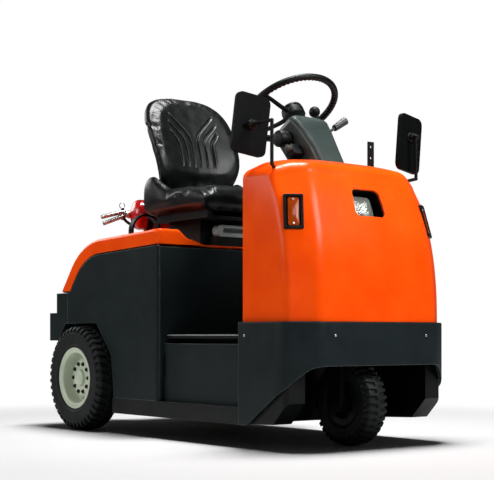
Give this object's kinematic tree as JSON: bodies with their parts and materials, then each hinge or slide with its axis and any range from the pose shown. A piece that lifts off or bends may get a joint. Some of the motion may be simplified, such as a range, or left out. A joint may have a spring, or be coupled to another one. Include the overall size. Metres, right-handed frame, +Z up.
{
  "type": "three-wheeled electric tow tractor",
  "caption": "Compact ride-on electric tow tractor with a steered front wheel, driven rear axle, tilting battery hood with the driver's seat, and a rear pin coupler.",
  "frame": {"origin": "on the ground, at the middle of the tractor's box", "axes": "+X points forward along the direction of travel, +Y to the driver's left, +Z up"},
  "size_m": [1.73, 0.8172, 1.342],
  "materials": {
    "orange_paint": "gloss",
    "charcoal_paint": "satin",
    "black_paint": "satin",
    "red_paint": "gloss",
    "rim_paint": "satin",
    "black_plastic": "moulded grain",
    "column_grey": "moulded grain",
    "grip_grey": "moulded grain",
    "floor_rubber": "ribbed",
    "tyre_rubber": "matte",
    "seat_vinyl": "sewn vinyl",
    "lamp_clear": "clear moulded",
    "lamp_amber": "clear moulded",
    "lamp_red": "clear moulded",
    "mirror_glass": "polished",
    "bright_steel": "zinc plated",
    "battery_case": "plain block"
  },
  "bodies": {
    "chassis": {"chassis_frame": "charcoal_paint", "side_panels": "charcoal_paint", "compartment_front": "charcoal_paint", "rear_bumper": "charcoal_paint", "floor_plate": "floor_rubber", "step_panels": "charcoal_paint", "toe_board": "black_paint", "front_bumper": "charcoal_paint", "front_cowl": "orange_paint", "dash_panel": "black_plastic", "column_cover": "column_grey", "switch_box": "black_plastic", "direction_lever": "grip_grey", "headlamp_housing": "black_plastic", "headlamp_lens": "lamp_clear", "turn_lamp_trays": "black_plastic", "turn_lamp_lenses": "lamp_amber", "mirror_arms": "black_paint", "mirror_heads": "black_plastic", "mirror_glasses": "mirror_glass", "accessory_strip": "black_paint", "battery": "battery_case", "rear_axle": "black_paint", "tow_coupler": "black_paint", "tow_pin": "bright_steel", "pedals": "floor_rubber", "rear_lamps": "lamp_red"},
    "fork": {"front_fork": "black_paint"},
    "front_wheel": {"front_rim": "black_paint", "front_tyre": "tyre_rubber"},
    "rear_wheel_left": {"rear_rim_left": "rim_paint", "rear_tyre_left": "tyre_rubber"},
    "rear_wheel_right": {"rear_rim_right": "rim_paint", "rear_tyre_right": "tyre_rubber"},
    "steering": {"steering_wheel": "black_plastic", "spinner_knob": "black_plastic"},
    "hood_lid": {"hood": "orange_paint", "hood_grip": "grip_grey", "seat_base": "black_paint", "seat_frame": "black_paint", "seat_cushion": "seat_vinyl", "seat_back": "seat_vinyl", "extinguisher_body": "red_paint", "extinguisher_valve": "bright_steel", "extinguisher_cradle": "black_paint"}
  },
  "joints": [
    {"name": "rear_wheel_left_spin", "type": "hinge", "parent": "chassis", "child": "rear_wheel_left", "pos_m": [-0.48, 0.352, 0.207], "axis": [0, 1, 0], "continuous": true},
    {"name": "rear_wheel_right_spin", "type": "hinge", "parent": "chassis", "child": "rear_wheel_right", "pos_m": [-0.48, -0.352, 0.207], "axis": [0, 1, 0], "continuous": true},
    {"name": "fork_steer", "type": "hinge", "parent": "chassis", "child": "fork", "pos_m": [0.708, 0, 0.146], "axis": [0, 0, 1], "range_deg": [-75, 75]},
    {"name": "front_wheel_spin", "type": "hinge", "parent": "fork", "child": "front_wheel", "pos_m": [0.708, 0, 0.146], "axis": [0, 1, 0], "continuous": true},
    {"name": "steering_turn", "type": "hinge", "parent": "chassis", "child": "steering", "pos_m": [0.39, 0, 1.198], "axis": [-0.5299, 0, 0.848], "range_deg": [-455, 455]},
    {"name": "hood_tilt", "type": "hinge", "parent": "chassis", "child": "hood_lid", "pos_m": [-0.6675, 0, 0.556], "axis": [0, -1, 0], "range_deg": [0, 60]}
  ],
  "couplings": [
    {"joint": "steering_turn", "follows": "fork_steer", "ratio": 6}
  ]
}
